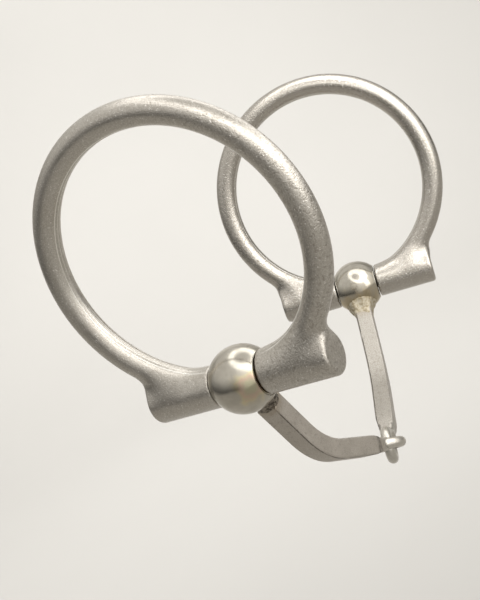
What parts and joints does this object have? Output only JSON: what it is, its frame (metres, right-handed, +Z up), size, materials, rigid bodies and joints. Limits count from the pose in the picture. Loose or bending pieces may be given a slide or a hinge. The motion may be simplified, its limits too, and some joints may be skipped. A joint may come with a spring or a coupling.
{
  "type": "snaffle bit",
  "caption": "Horse riding snaffle bit: round ring cheeks hinged on ball joints, and a jointed mouthpiece of curved square bars with linked eyes, hanging by its rings.",
  "frame": {"origin": "the top of the near ring's opening, on its inner surface, where a peg or hook carries the bit", "axes": "+Z up along the near ring, +Y along the near hinge pin, +X out of the near cheek, away from the far cheek"},
  "size_m": [0.1407, 0.0847, 0.1222],
  "materials": {
    "ring_steel": "satin stainless steel with draw marks, light scratches and small pits",
    "sleeve_steel": "satin stainless steel, turned and polished into the ring",
    "pin_steel": "plain drawn stainless steel, unpolished",
    "ball_steel": "smooth satin stainless steel with straw heat tint near the weld",
    "weld_steel": "rough weld metal, brown heat tint",
    "bar_steel": "matt satin stainless steel with faint cross scratches"
  },
  "bodies": {
    "near_cheek": {"near_ring": "ring_steel", "near_front_sleeve": "sleeve_steel", "near_rear_sleeve": "sleeve_steel", "near_hinge_pin": "pin_steel"},
    "near_mouth": {"near_ball": "ball_steel", "near_weld_bead": "weld_steel", "near_mouth_bar": "bar_steel"},
    "far_mouth": {"far_ball": "ball_steel", "far_weld_bead": "weld_steel", "far_mouth_bar": "bar_steel"},
    "far_cheek": {"far_ring": "ring_steel", "far_front_sleeve": "sleeve_steel", "far_rear_sleeve": "sleeve_steel", "far_hinge_pin": "pin_steel"}
  },
  "joints": [
    {"name": "near_hinge", "type": "hinge", "parent": "near_cheek", "child": "near_mouth", "pos_m": [0, 0, -0.06082], "axis": [0, 1, 0], "range_deg": [-60, 50]},
    {"name": "link_fold", "type": "hinge", "parent": "near_mouth", "child": "far_mouth", "pos_m": [-0.04961, 0, -0.11074], "axis": [0, 1, 0], "range_deg": [-38, 22]},
    {"name": "far_hinge", "type": "hinge", "parent": "far_mouth", "child": "far_cheek", "pos_m": [-0.1088, -0.01812, -0.08539], "axis": [0.327, -0.9353, 0.1354], "range_deg": [-50, 70]}
  ]
}
